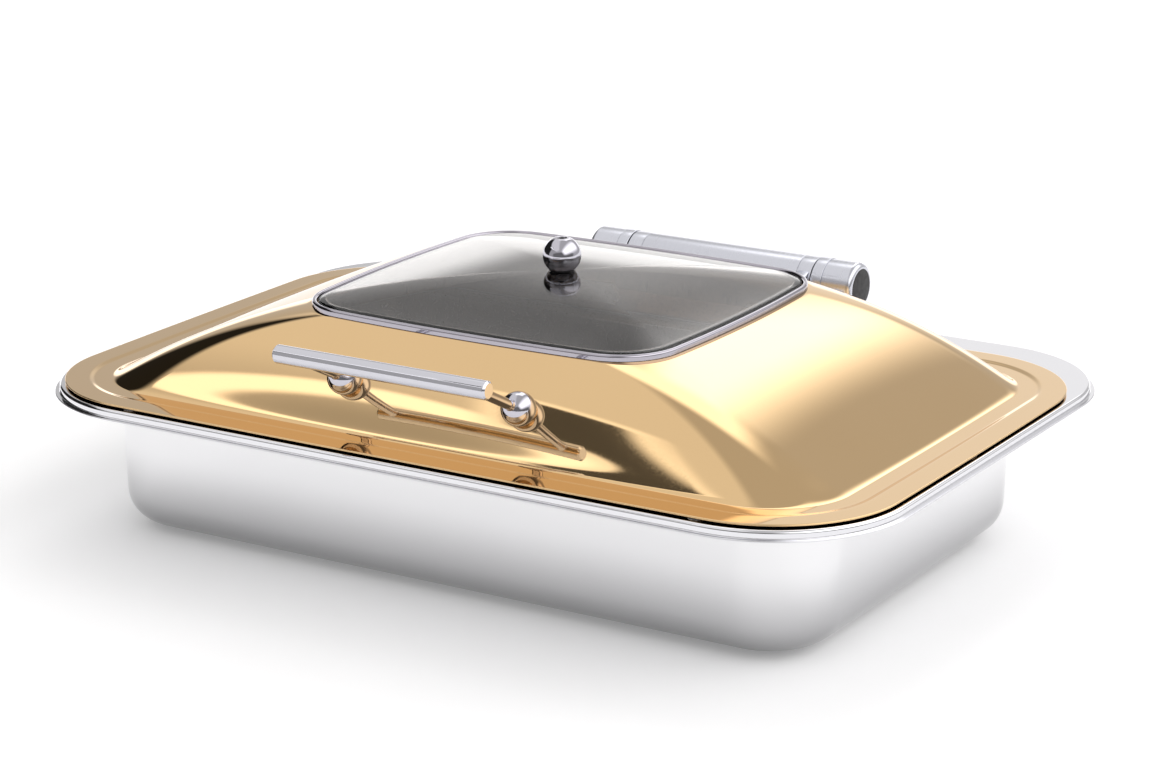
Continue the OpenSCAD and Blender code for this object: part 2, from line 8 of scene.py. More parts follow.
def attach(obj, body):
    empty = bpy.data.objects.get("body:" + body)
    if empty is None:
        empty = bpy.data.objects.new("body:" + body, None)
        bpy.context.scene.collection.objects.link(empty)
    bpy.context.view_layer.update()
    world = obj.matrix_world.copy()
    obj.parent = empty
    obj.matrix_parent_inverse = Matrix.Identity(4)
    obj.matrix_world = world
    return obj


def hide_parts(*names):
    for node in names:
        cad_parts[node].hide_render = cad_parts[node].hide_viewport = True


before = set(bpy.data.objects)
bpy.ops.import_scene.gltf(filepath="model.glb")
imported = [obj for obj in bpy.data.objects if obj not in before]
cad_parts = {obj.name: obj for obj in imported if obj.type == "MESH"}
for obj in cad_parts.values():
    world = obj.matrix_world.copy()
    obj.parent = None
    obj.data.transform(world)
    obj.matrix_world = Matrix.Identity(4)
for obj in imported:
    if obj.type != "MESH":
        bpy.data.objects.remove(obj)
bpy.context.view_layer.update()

# Lengths are in millimetres. X = 0 and Y = 0 are the middle of the closed lid, -Y is the front,
# and Z = 0 is the deck of the top frame. place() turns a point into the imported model's own
# frame, in metres.
MM = 0.001
MID_Y = 13.15
DECK = 97.0

scene = bpy.context.scene


def place(p):
    return (p[0] * MM, (p[1] - MID_Y) * MM, (p[2] + DECK) * MM)


def mix(a, b, u):
    return a + (b - a) * u


def swell(u):
    """0 at both ends and 1 halfway."""
    return 4 * u * (1 - u)


def smooth(s):
    """From 0 to 1 with a level start and end."""
    return s * s * (3 - 2 * s)


# ---- Outlines ----------------------------------------------------------------------------

# A rounded rectangle needs some bow in its sides: STRAIGHT is one that can't be seen.
CORNER_STEPS = 30
SIDE_STEPS = 10
STRAIGHT = 0.004


def quarter(hx, hy, r, b):
    """Rounded rectangle with bowed sides, from the middle of +X to the middle of +Y."""
    a = r + b
    cx, cy = hx - a, hy - a
    rx = (cx * cx + a * a - r * r) / (2 * b)
    ry = (cy * cy + a * a - r * r) / (2 * b)
    ax, ay = asin(cx / (rx - r)), asin(cy / (ry - r))
    points = []
    for i in range(SIDE_STEPS):
        t = ay * i / SIDE_STEPS
        points.append((hx - ry + ry * cos(t), ry * sin(t)))
    for i in range(CORNER_STEPS):
        t = ay + (pi / 2 - ax - ay) * i / CORNER_STEPS
        points.append((cx + r * cos(t), cy + r * sin(t)))
    for i in range(SIDE_STEPS + 1):
        t = pi / 2 - ax + ax * i / SIDE_STEPS
        points.append((rx * cos(t), hy - rx + rx * sin(t)))
    return points


def ring(hx, hy, r, b, z, mid_y=0.0):
    """A whole rounded rectangle at the height z: half sizes, corner radius and bow."""
    q = quarter(hx, hy, r, b)
    back = list(reversed(q[1:]))
    flat = q[:-1] + [(-x, y) for x, y in back] + [(-x, -y) for x, y in q[:-1]]
    flat += [(x, -y) for x, y in back]
    return [(x, y + mid_y, z) for x, y in flat]


def scaled(points, f, z):
    """The same ring shrunk towards the axis, at the height z."""
    return [(x * f, y * f, z) for x, y, _ in points]


def bridge(rings, closed=True):
    """Faces from each ring to the next one, and from the last to the first if closed."""
    n, m = len(rings[0]), len(rings)
    verts = [p for r in rings for p in r]
    faces = []
    for j in range(m if closed else m - 1):
        k = (j + 1) % m
        for i in range(n):
            h = (i + 1) % n
            faces.append((j * n + i, j * n + h, k * n + h, k * n + i))
    return verts, faces


def capped(rings):
    """Rings in a row, with the first and the last one filled."""
    n, m = len(rings[0]), len(rings)
    verts, faces = bridge(rings, False)
    faces.append(tuple(range(n)))
    faces.append(tuple(range((m - 1) * n, m * n)))
    return verts, faces


def rounded(points, closed=False, steps=6):
    """Corner points [x, y, fillet radius] turned into a line with arcs."""
    out = []
    n = len(points)
    for i, (x, y, r) in enumerate(points):
        p = Vector((x, y))
        if r <= 0 or (not closed and i in (0, n - 1)):
            out.append((x, y))
            continue
        a = (Vector(points[i - 1][:2]) - p).normalized()
        b = (Vector(points[(i + 1) % n][:2]) - p).normalized()
        half = a.angle(b) / 2
        start, end = p + a * (r / tan(half)), p + b * (r / tan(half))
        centre = p + (a + b).normalized() * (r / sin(half))
        t0 = atan2(start.y - centre.y, start.x - centre.x)
        t1 = atan2(end.y - centre.y, end.x - centre.x)
        turn = (t1 - t0 + pi) % (2 * pi) - pi
        for k in range(steps + 1):
            t = t0 + turn * k / steps
            out.append((centre.x + r * cos(t), centre.y + r * sin(t)))
    return out


# Sides of a turned part: large, middling and small.
FINE, MIDDLING, SMALL = 96, 72, 48


def lathe(profile, origin, axis, closed=False, n=MIDDLING, hexed=()):
    """Turns a profile [radius, height] about an axis. Rings listed in hexed are hexagons."""
    axis = Vector(axis).normalized()
    origin = Vector(origin)
    side = axis.orthogonal().normalized()
    up = axis.cross(side)
    rings = []
    for k, (r, h) in enumerate(profile):
        line = []
        for i in range(n):
            t = 2 * pi * i / n
            out = r / cos(t % (pi / 3) - pi / 6) if k in hexed else r
            line.append(tuple(origin + axis * h + side * (out * cos(t)) + up * (out * sin(t))))
        rings.append(line)
    return bridge(rings) if closed else capped(rings)


def prism(outline, x0, x1):
    """An outline in the YZ plane drawn out along X."""
    n = len(outline)
    verts = [(x0, y, z) for y, z in outline] + [(x1, y, z) for y, z in outline]
    faces = [(i, (i + 1) % n, n + (i + 1) % n, n + i) for i in range(n)]
    faces += [tuple(range(n)), tuple(range(n, 2 * n))]
    return verts, faces


def bevelled(part, width, sharper_than=30.0, segments=3):
    """The same part with its sharp edges rounded."""
    bm = bmesh.new()
    made = [bm.verts.new(v) for v in part[0]]
    for f in part[1]:
        bm.faces.new([made[i] for i in f])
    bmesh.ops.recalc_face_normals(bm, faces=bm.faces)
    edges = [e for e in bm.edges if degrees(e.calc_face_angle(0)) > sharper_than]
    bmesh.ops.bevel(bm, geom=edges, offset=width, segments=segments, profile=0.5,
                    affect="EDGES", clamp_overlap=True)
    bm.verts.index_update()
    verts = [tuple(v.co) for v in bm.verts]
    faces = [tuple(v.index for v in f.verts) for f in bm.faces]
    bm.free()
    return verts, faces


def merged(*parts):
    """Several parts as one."""
    verts, faces = [], []
    for part_verts, part_faces in parts:
        base = len(verts)
        verts += part_verts
        faces += [tuple(i + base for i in f) for f in part_faces]
    return verts, faces


def mirrored(part):
    return [(-x, y, z) for x, y, z in part[0]], part[1]


def piece(name, part, material, body, nodes, crease=32.0):
    """A visible piece that takes the place of CAD nodes. Edges sharper than crease stay sharp."""
    mesh = bpy.data.meshes.new(name)
    mesh.from_pydata([place(p) for p in part[0]], [], part[1])
    bm = bmesh.new()
    bm.from_mesh(mesh)
    bmesh.ops.recalc_face_normals(bm, faces=bm.faces)
    bm.to_mesh(mesh)
    bm.free()
    for polygon in mesh.polygons:
        polygon.use_smooth = True
    mesh.set_sharp_from_angle(angle=radians(crease))
    mesh.materials.append(material)
    obj = bpy.data.objects.new(name, mesh)
    scene.collection.objects.link(obj)
    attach(obj, body)
    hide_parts(*nodes)
    return obj


# ---- Materials ---------------------------------------------------------------------------


class Graph:
    """Adds shader nodes. An input is a value or another node's socket."""

    def __init__(self, tree):
        self.nodes, self.links = tree.nodes, tree.links

    def node(self, kind, inputs=None, **settings):
        made = self.nodes.new(kind)
        for key, value in settings.items():
            setattr(made, key, value)
        for key, value in (inputs or {}).items():
            if isinstance(value, bpy.types.NodeSocket):
                self.links.new(value, made.inputs[key])
            else:
                made.inputs[key].default_value = value
        return made


def surface(name):
    """An empty material: itself, its graph, its shader and its coordinates."""
    material = bpy.data.materials.new(name)
    material.use_nodes = True
    g = Graph(material.node_tree)
    g.nodes.clear()
    shader = g.node("ShaderNodeBsdfPrincipled")
    out = g.node("ShaderNodeOutputMaterial")
    g.links.new(shader.outputs["BSDF"], out.inputs["Surface"])
    coords = g.node("ShaderNodeTexCoord").outputs["Object"]
    return material, g, shader, coords


def noise(g, coords, scale, detail=2.0, stretch=(1, 1, 1)):
    at = g.node("ShaderNodeMapping", {"Vector": coords, "Scale": stretch})
    made = g.node("ShaderNodeTexNoise",
                  {"Vector": at.outputs["Vector"], "Scale": scale, "Detail": detail})
    return made.outputs["Fac"]


def spread(g, value, low, high):
    """Noise stretched to run from low to high."""
    made = g.node("ShaderNodeMapRange", {"Value": value, "From Min": 0.3, "From Max": 0.7,
                                         "To Min": low, "To Max": high})
    return made.outputs["Result"]


def tint(g, value, first, second):
    made = g.node("ShaderNodeMix", {"Factor": value}, data_type="RGBA")
    made.inputs[6].default_value = (*first, 1)
    made.inputs[7].default_value = (*second, 1)
    return made.outputs[2]


def bumped(g, heights):
    """heights is a list of [noise, height in metres], added up."""
    normal = None
    for value, height in heights:
        made = g.node("ShaderNodeBump", {"Height": value, "Distance": height, "Strength": 1.0})
        if normal:
            g.links.new(normal, made.inputs["Normal"])
        normal = made.outputs["Normal"]
    return normal


# Noise scales, in waves per metre, and what is left of the colour at the foot of a wall
# with painted shade, which gets darker towards the bottom.
TINT_SCALE = 9
WAVE_SCALE = 14
GRAIN_SCALE = 700
FOOT_SHADE_SHARE = 0.42
PLAIN_TINT_SCALE = 30
PLAIN_GRAIN_SCALE = 300
PLAIN_GRAIN = 0.00002


def metal(name, first, second, rough, wave=0.0, grain=0.0, stretch=(1, 1, 1), painted_shade_to=0.0):
    """Metal whose tint and polish vary a little. wave is the sheet's unevenness and grain
    the depth of its finest marks, in metres. Below the height painted_shade_to its colour is
    darkened: painted shade at the foot of a wall."""
    material, g, shader, coords = surface(name)
    shader.inputs["Metallic"].default_value = 1.0
    colour = tint(g, noise(g, coords, TINT_SCALE), first, second)
    # Painted shade: the base colour darkens towards the foot of the wall, below the height
    # painted_shade_to.
    if painted_shade_to:
        height = g.node("ShaderNodeSeparateXYZ", {"Vector": coords}).outputs["Z"]
        foot_shade = g.node("ShaderNodeMapRange",
                      {"Value": height, "From Min": 0.0, "From Max": painted_shade_to,
                       "To Min": FOOT_SHADE_SHARE, "To Max": 1.0}, interpolation_type="SMOOTHSTEP")
        colour = g.node("ShaderNodeVectorMath", {0: colour, "Scale": foot_shade.outputs["Result"]},
                        operation="SCALE").outputs["Vector"]
    g.links.new(colour, shader.inputs["Base Color"])
    fine = noise(g, coords, GRAIN_SCALE, 3, stretch)
    g.links.new(spread(g, fine, *rough), shader.inputs["Roughness"])
    heights = []
    if wave:
        heights.append((noise(g, coords, WAVE_SCALE, 1), wave))
    if grain:
        heights.append((fine, grain))
    if heights:
        g.links.new(bumped(g, heights), shader.inputs["Normal"])
    return material


def plain(name, first, second, rough):
    """A polymer or an oxide finish with a fine grain."""
    material, g, shader, coords = surface(name)
    colour = tint(g, noise(g, coords, PLAIN_TINT_SCALE), first, second)
    g.links.new(colour, shader.inputs["Base Color"])
    fine = noise(g, coords, PLAIN_GRAIN_SCALE, 3)
    g.links.new(spread(g, fine, *rough), shader.inputs["Roughness"])
    g.links.new(bumped(g, [(fine, PLAIN_GRAIN)]), shader.inputs["Normal"])
    return material


gold = metal("gold_steel", (0.785, 0.55, 0.295), (0.755, 0.52, 0.27), (0.025, 0.045),
             wave=0.00003)
mirror = metal("mirror_steel", (0.80, 0.80, 0.83), (0.76, 0.76, 0.79), (0.04, 0.07),
               wave=0.00002)
# The tub's lower wall gets painted shade: its colour darkens towards the bottom.
tub_steel = metal("tub_steel", (0.85, 0.85, 0.86), (0.82, 0.82, 0.835), (0.05, 0.09),
                  wave=0.00002, painted_shade_to=0.062)
satin = metal("satin_steel", (0.68, 0.69, 0.75), (0.63, 0.64, 0.70), (0.2, 0.28),
              grain=0.000004, stretch=(1, 0.1, 0.1))
chrome = metal("chrome", (0.60, 0.59, 0.65), (0.55, 0.54, 0.60), (0.03, 0.06))
trim_steel = metal("trim_steel", (0.47, 0.45, 0.50), (0.42, 0.40, 0.45), (0.05, 0.08))
bar_steel = metal("bar_steel", (0.66, 0.66, 0.71), (0.62, 0.62, 0.67), (0.05, 0.08))
dull = metal("plain_steel", (0.62, 0.63, 0.65), (0.55, 0.56, 0.58), (0.25, 0.38),
             grain=0.00001)
base_metal = metal("base_steel", (0.50, 0.51, 0.53), (0.44, 0.45, 0.47), (0.3, 0.42),
                   grain=0.00001)
bronze = metal("bronze", (0.60, 0.40, 0.20), (0.52, 0.34, 0.17), (0.3, 0.4))
rubber = plain("black_silicone", (0.012, 0.012, 0.013), (0.02, 0.02, 0.021), (0.4, 0.55))
nylon = plain("black_nylon", (0.01, 0.01, 0.012), (0.016, 0.016, 0.018), (0.45, 0.6))
clear = plain("clear_silicone", (0.62, 0.63, 0.63), (0.55, 0.56, 0.56), (0.3, 0.4))
oxide = plain("black_oxide", (0.02, 0.02, 0.024), (0.035, 0.035, 0.04), (0.25, 0.4))


GLASS_HAZE_SCALE, GLASS_WAVE_SCALE, GLASS_WAVE = 60, 8, 0.00002


def glass_material():
    """Tinted glass with a faint haze and waves."""
    material, g, shader, coords = surface("tempered_glass")
    shader.inputs["Transmission Weight"].default_value = 1.0
    shader.inputs["IOR"].default_value = 1.5
    shader.inputs["Base Color"].default_value = (0.52, 0.49, 0.47, 1)
    haze = noise(g, coords, GLASS_HAZE_SCALE, 2)
    g.links.new(spread(g, haze, 0.0, 0.015), shader.inputs["Roughness"])
    waves = noise(g, coords, GLASS_WAVE_SCALE, 1)
    g.links.new(bumped(g, [(waves, GLASS_WAVE)]), shader.inputs["Normal"])
    return material


glass = glass_material()

# ---- Lid ---------------------------------------------------------------------------------

# Half sizes, corner radii and bows of the flange and the window, the sheet's thickness, and the
# heights of the rim and of the seat inside it. Measured in from the edge, the rim ends at
# RIM_WIDTH, the seat starts at SEAT_START and the dome at FOOT.
LID_X, LID_Y, LID_R = 290.0, 191.5, 81.0
WIN_X, WIN_Y, WIN_R, WIN_BOW = 131.5, 119.5, 40.0, 3.0
LID_BOW = 0.6
SHEET = 1.2
RIM_TOP, SEAT_TOP = 2.4, 1.6
RIM_WIDTH, SEAT_START, FOOT = 14.5, 19.5, 29.0
# The dome's height, how round it is, the round at its foot, and the change of its corners and
# sides halfway up.
RISE, FULLNESS, FOOT_ROUND = 58.3, 0.42, 2.5
MID_SQUARE, MID_BOW = 14.0, 2.0
DOME_RINGS, LOW_CROWDING = 60, 1.7
SLOPE_STEP = 0.01
LEDGE_DROP, LEDGE_WIDTH, LEDGE_START = 1.3, 8.0, 3.9
EDGE_STEPS = 8
STEP_STEPS = 12
# Extra rings on the flat stretches: the rim, the seat, the sill round the window, and the
# undersides of the seat and the rim.
RIM_RINGS, SEAT_RINGS, SILL_RINGS = (1.4, 4, 8, 12), (21.5, 24.5, 27), (0.8, 2, 3)
UNDER_SEAT_RINGS, UNDER_RIM_RINGS = (27, 23), (10, 4)


# The dome goes from its foot at u = 0 to the window at u = 1.
def rise_at(u):
    return RISE * ((1 + FULLNESS) * u - FULLNESS * u * u)


def dome_z(u):
    return SEAT_TOP + rise_at(u) ** 2 / (rise_at(u) + FOOT_ROUND)


def dome_y(u):
    return mix(LID_Y - FOOT, WIN_Y, u)


def dome_r(u):
    return mix(LID_R - FOOT, WIN_R, u) - MID_SQUARE * swell(u)


def dome_b(u):
    return mix(LID_BOW, WIN_BOW, u) + MID_BOW * swell(u)


def slope(u):
    """The dome's angle to the level, in the middle of its long sides."""
    low, high = u - SLOPE_STEP, u + SLOPE_STEP
    return atan2(dome_z(high) - dome_z(low), dome_y(low) - dome_y(high))


def dome_ring(u, t=0.0):
    """The dome's ring at u, t below its skin."""
    s = t * sin(slope(u))
    return ring(mix(LID_X - FOOT, WIN_X, u) - s, dome_y(u) - s, dome_r(u) - s, dome_b(u),
                dome_z(u) - t * cos(slope(u)))


def side_y(u, x):
    """The distance from the middle to the bowed long side at u, at the place x along it."""
    b, r = dome_b(u), dome_r(u)
    cx = mix(LID_X - FOOT, WIN_X, u) - r - b
    rx = (cx * cx + (r + b) ** 2 - r * r) / (2 * b)
    return dome_y(u) - rx + sqrt(rx * rx - x * x)


def flange(d, z):
    """A ring d inside the lid's edge."""
    return ring(LID_X - d, LID_Y - d, LID_R - d, LID_BOW, z)


def window(d, z):
    """A ring d inside the window's edge."""
    return ring(WIN_X - d, WIN_Y - d, WIN_R - d, WIN_BOW, z)


WIN_TOP = dome_z(1)
LEDGE_TOP = WIN_TOP - LEDGE_DROP
SEAL_T = 0.75
GLASS_BOTTOM = LEDGE_TOP + SEAL_T
GLASS_T, GLASS_RISE, GLASS_INSET = 4.0, 12.6, 4.7
GLASS_EDGE = GLASS_BOTTOM + GLASS_T
GLASS_TOP = GLASS_EDGE + GLASS_RISE

levels = [(k / DOME_RINGS) ** LOW_CROWDING for k in range(DOME_RINGS + 1)]


def lid_rings():
    """The lid's skin from its edge over the top to the window, and back along the inside."""
    half = SHEET / 2
    ledge_low = LEDGE_TOP - SHEET
    rings = []
    for k in range(EDGE_STEPS + 1):
        t = -pi / 2 + pi * k / EDGE_STEPS
        rings.append(flange(half - half * cos(t), RIM_TOP - half + half * sin(t)))
    rings += [flange(d, RIM_TOP) for d in RIM_RINGS]
    for k in range(STEP_STEPS + 1):
        s = k / STEP_STEPS
        rings.append(flange(mix(RIM_WIDTH, SEAT_START, s), mix(RIM_TOP, SEAT_TOP, smooth(s))))
    rings += [flange(d, SEAT_TOP) for d in SEAT_RINGS]
    rings += [dome_ring(u) for u in levels]
    rings += [window(d, WIN_TOP) for d in SILL_RINGS]
    rings += [window(LEDGE_START - 0.3, WIN_TOP - 0.3), window(LEDGE_START - 0.1, WIN_TOP - 0.6)]
    rings += [window(LEDGE_START, LEDGE_TOP), window(LEDGE_WIDTH, LEDGE_TOP)]
    rings += [window(LEDGE_WIDTH, ledge_low), window(LEDGE_START - 0.7, ledge_low)]
    rings += [dome_ring(u, SHEET) for u in reversed(levels)]
    rings += [flange(d, SEAT_TOP - SHEET) for d in UNDER_SEAT_RINGS]
    for k in range(EDGE_STEPS + 1):
        s = 1 - k / EDGE_STEPS
        rings.append(flange(mix(RIM_WIDTH, SEAT_START, s) - 0.4,
                            mix(RIM_TOP, SEAT_TOP, smooth(s)) - SHEET))
    rings += [flange(d, RIM_TOP - SHEET) for d in UNDER_RIM_RINGS]
    return rings


piece("gold_lid", bridge(lid_rings()), gold, "lid", ["lid_shell"], 40)


GLASS_STEPS, GLASS_LAST, GLASS_BEVEL = 28, 0.995, 0.5


def glass_rings():
    """The domed pane: over its top, round its edge, and back along its underside."""
    gx, gy, gr = WIN_X - GLASS_INSET, WIN_Y - GLASS_INSET, WIN_R - GLASS_INSET

    def pane(f, z):
        return ring(gx * f, gy * f, gr * f, WIN_BOW * f, z)

    steps = [k / GLASS_STEPS for k in range(1, GLASS_STEPS)] + [GLASS_LAST]
    rings = [pane(f, GLASS_TOP - GLASS_RISE * f * f) for f in steps]
    rings += [pane(1.0, GLASS_EDGE - GLASS_BEVEL), pane(1.0, GLASS_BOTTOM + GLASS_BEVEL)]
    rings += [pane(f, GLASS_TOP - GLASS_T - GLASS_RISE * f * f) for f in reversed(steps)]
    return rings


piece("window_pane", capped(glass_rings()), glass, "lid",
      ["window_glass"], 50)

# The trim is a half round of the radius TRIM_R on straight sides.
TRIM_R, TRIM_MIDDLE, TRIM_SIDE, TRIM_STEPS = 1.7, 1.5, 2.1, 18


def trim_rings():
    low = WIN_TOP + 0.1
    rings = [window(TRIM_MIDDLE - TRIM_R, low)]
    for k in range(TRIM_STEPS + 1):
        t = pi * k / TRIM_STEPS
        rings.append(window(TRIM_MIDDLE - TRIM_R * cos(t), low + TRIM_SIDE + TRIM_R * sin(t)))
    return rings + [window(TRIM_MIDDLE + TRIM_R, low)]


piece("trim_ring", bridge(trim_rings()), trim_steel, "lid", ["window_trim"], 50)

# The seal lies on the ledge under the pane and stands up round its edge.
seal_low, seal_lap, seal_lip = LEDGE_TOP + 0.1, GLASS_BOTTOM - 0.05, GLASS_EDGE - 0.4
seal = rounded([(4.0, seal_low, 0.1), (4.0, seal_lip, 0.28), (4.65, seal_lip, 0.28),
                (4.65, seal_lap, 0), (8.0, seal_lap, 0.2), (8.0, seal_low, 0.1)], True, 3)
piece("window_seal", bridge([window(d, z) for d, z in seal]), rubber, "lid",
      ["window_gasket"])

# ---- Knob --------------------------------------------------------------------------------

# A ball with a flat foot on a washer and a flat, drilled top. KNOB_SEAT is the hole's bottom,
# where the bolt's head lies.
KNOB_R, KNOB_HEIGHT = 12.2, 9.4
KNOB_TOP, KNOB_SEAT = 11.2, 7.7
KNOB_BORE, KNOB_MOUTH = 2.5, 3.0
BALL_STEPS = 40
WASHER_R, WASHER_T, UNDER_GAP = 8.0, 0.8, 0.3
up = (0, 0, 1)
knob_foot = WASHER_T - KNOB_HEIGHT


def knob_line():
    line = [(KNOB_MOUTH, KNOB_SEAT), (KNOB_MOUTH, KNOB_TOP - 0.3), (KNOB_MOUTH + 0.3, KNOB_TOP),
            (4.4, KNOB_TOP)]
    first, last = asin((KNOB_TOP - 0.1) / KNOB_R), asin((knob_foot + 0.2) / KNOB_R)
    for k in range(BALL_STEPS + 1):
        t = mix(first, last, k / BALL_STEPS)
        line.append((KNOB_R * cos(t), KNOB_R * sin(t)))
    return line + [(8.5, knob_foot), (KNOB_BORE, knob_foot), (KNOB_BORE, KNOB_SEAT)]


piece("knob", lathe(knob_line(), (0, 0, GLASS_TOP + KNOB_HEIGHT), up, True, FINE), chrome, "lid",
      ["knob_ball"])
washer = rounded([(KNOB_BORE, 0, 0), (WASHER_R, 0, 0.25), (WASHER_R, WASHER_T, 0.25),
                  (KNOB_BORE, WASHER_T, 0)], True, 3)
under_glass = GLASS_TOP - GLASS_T - UNDER_GAP
piece("knob_pads", merged(lathe(washer, (0, 0, GLASS_TOP), up, True),
                          lathe(washer, (0, 0, under_glass - WASHER_T), up, True)),
      rubber, "lid", ["knob_washers"])

# ---- Handle ------------------------------------------------------------------------------

# The bar lies BAR_REACH in front of the middle. The ball feet stand on the dome at HANDLE_U,
# with their middles BALL_SEAT above it, and each post runs from its ball's middle to the bar's.
BAR_HALF, BAR_R, BAR_REACH, BAR_Z = 74.5, 5.7, 200.0, 57.5
BAR_CHAMFER = 1.2
BALL_X, BALL_R, BALL_SEAT, HANDLE_U = 62.0, 10.6, 5.6, 0.4
BALL_PLAY = 0.1
POST_R, POST_START, POST_STOP = 3.2, 5.0, 2.0
# How much a post widens at the ball and at the bar, from where, and over what length.
BALL_FLARE, BALL_FLARE_AT, BALL_FLARE_LENGTH = 0.45, -0.9, 2.6
BAR_FLARE, BAR_FLARE_AT, BAR_FLARE_LENGTH = 0.4, 1.8, 2.0
FLARE_STEPS = 6
handle_slope = slope(HANDLE_U)
handle_normal = Vector((0, -sin(handle_slope), cos(handle_slope)))
bar_shoulder, bar_end = BAR_HALF - BAR_CHAMFER, BAR_R - BAR_CHAMFER
bar_line = rounded([(bar_end - 0.6, -BAR_HALF, 0), (bar_end, -BAR_HALF, 0.15),
                    (BAR_R, -bar_shoulder, 0.25), (BAR_R, bar_shoulder, 0.25),
                    (bar_end, BAR_HALF, 0.15), (bar_end - 0.6, BAR_HALF, 0)])
piece("grip_bar", lathe(bar_line, (0, -BAR_REACH, BAR_Z), (1, 0, 0), False, FINE), bar_steel,
      "lid", ["handle_bar"], 24)


def ball_foot(s):
    """Where the left (s = -1) or right (s = 1) ball foot's axis meets the dome."""
    return Vector((s * BALL_X, -side_y(HANDLE_U, BALL_X), dome_z(HANDLE_U)))


def post_line(reach):
    """A post's profile, widened where it goes into the ball and into the bar."""
    line = [(POST_R, POST_START)]
    for k in range(FLARE_STEPS + 1):
        line.append((POST_R + BALL_FLARE * (1 - smooth(k / FLARE_STEPS)),
                     BALL_R + BALL_FLARE_AT + BALL_FLARE_LENGTH * k / FLARE_STEPS))
    for k in range(FLARE_STEPS + 1):
        line.append((POST_R + BAR_FLARE * smooth(k / FLARE_STEPS),
                     reach - BAR_R - BAR_FLARE_AT + BAR_FLARE_LENGTH * k / FLARE_STEPS))
    return line + [(POST_R, reach - 2 * POST_STOP), (POST_R, reach - POST_STOP)]


def ball_line():
    """A ball's profile: cut flat below and closed above."""
    cut = -(BALL_SEAT - BALL_PLAY)
    low = asin(cut / BALL_R)
    line = [(2.0, cut), (BALL_R * cos(low) - 0.3, cut)]
    for k in range(1, BALL_STEPS + 1):
        t = mix(low, pi / 2 - 0.01, k / BALL_STEPS)
        line.append((BALL_R * cos(t), BALL_R * sin(t)))
    return line


def handle_side(s):
    centre = ball_foot(s) + handle_normal * BALL_SEAT
    to_bar = Vector((s * BALL_X, -BAR_REACH, BAR_Z)) - centre
    post = lathe(post_line(to_bar.length), centre, to_bar, False, SMALL)
    return post, lathe(ball_line(), centre, handle_normal, False, FINE)


for s, side in ((-1, "left"), (1, "right")):
    post, ball = handle_side(s)
    piece("grip_post_" + side, post, chrome, "lid", ["handle_post_" + side])
    piece("grip_ball_" + side, ball, chrome, "lid", ["handle_ball_" + side])

# ---- Screws ------------------------------------------------------------------------------


SHANK_R, CROWN_R, SOCKET_R, SOCKET_DEPTH = 2.0, 1.75, 1.4, 1.3
HEAD_FOOT, HEAD_STEPS = 0.2, 8


def screw(seat, axis, head_r, head_h, shank):
    """A button-head screw with a hexagon socket: the head stands on seat along axis."""
    line = [(SHANK_R, -shank), (SHANK_R, 0), (head_r - 0.15, 0), (head_r, HEAD_FOOT)]
    for k in range(1, HEAD_STEPS + 1):
        t = pi / 2 * k / HEAD_STEPS
        line.append((mix(head_r, CROWN_R, 1 - cos(t)), mix(HEAD_FOOT, head_h, sin(t))))
    line += [(SOCKET_R + 0.05, head_h), (SOCKET_R, head_h - 0.1),
             (SOCKET_R, head_h - SOCKET_DEPTH)]
    last = len(line)
    return lathe(line, seat, axis, False, SMALL, (last - 3, last - 2, last - 1))


# The handle's screw heads lie on washers inside the lid, and their shanks end in the balls.
INNER_WASHER_IN, INNER_WASHER_T = 1.7, 1.0
handle_in = INNER_WASHER_IN + INNER_WASHER_T
inner = [screw(ball_foot(s) - handle_normal * handle_in, -handle_normal, head_r=3.8,
               head_h=2.4, shank=BALL_SEAT + handle_in - 2) for s in (-1, 1)]
piece("grip_screws", merged(*inner), dull, "lid", ["handle_screws"])

# ---- Hinge -------------------------------------------------------------------------------

# Along X, from the middle out: the barrel, the arm's ring on the barrel's spigot, the collar and
# the end housing with its cap.
HINGE_Y, HINGE_Z = 215.0, 26.0
TUBE_R, SPIGOT_R, CORE_R, SHAFT_R = 17.0, 15.0, 12.0, 6.0
BARREL_END, ARM_IN, ARM_OUT = 60.4, 60.6, 71.1
COLLAR_IN, COLLAR_OUT, HOUSING_IN, HOUSING_OUT = 71.9, 79.9, 80.0, 102.0
COLLAR_R, HOUSING_CORE_R, HOUSING_ROUND = 17.4, 14.0, 3.9
CAP_R, CAP_IN, CAP_PROUD = 12.9, 99.5, 0.3
hinge_at = (0, HINGE_Y, HINGE_Z)
along_x = (1, 0, 0)


def tube(line, s=1, steps=5):
    """A profile [radius, place along X, fillet radius] turned about the hinge's axis."""
    return lathe([(r, s * h) for r, h in rounded(line, True, steps)], hinge_at, along_x,
                 True, FINE)


barrel_line = [(CORE_R, -ARM_OUT, 0), (SPIGOT_R, -ARM_OUT, 0.3), (SPIGOT_R, -BARREL_END, 0),
               (TUBE_R, -BARREL_END, 0.35), (TUBE_R, BARREL_END, 0.35),
               (SPIGOT_R, BARREL_END, 0), (SPIGOT_R, ARM_OUT, 0.3), (CORE_R, ARM_OUT, 0)]
piece("hinge_tube", tube(barrel_line), satin, "lid", ["hinge_barrel"])

# An arm runs from its ring down to a foot plate on the back of the dome, at ARM_U.
ARM_U, ARM_X, ARM_W = 0.22, 66.0, 9.0
ARM_ROOT_OUT, ARM_HALF_T, ARM_ROUND = 1.5, 6.0, 0.9
# Where the arm's upper and lower edges end, from the hinge's axis.
ARM_HIGH_END, ARM_LOW_END = (-12.0, 10.5), (-14.0, -8.0)
FOOT_X, FOOT_Y, FOOT_R, FOOT_OUT = 14.0, 9.0, 3.0, 2.75
FOOT_ARC_STEPS = 6
ARM_SCREW_OFF = 9.5
arm_slope = slope(ARM_U)
arm_y, arm_z = side_y(ARM_U, ARM_X), dome_z(ARM_U)
arm_normal = Vector((0, sin(arm_slope), cos(arm_slope)))
arm_along = Vector((0, cos(arm_slope), -sin(arm_slope)))


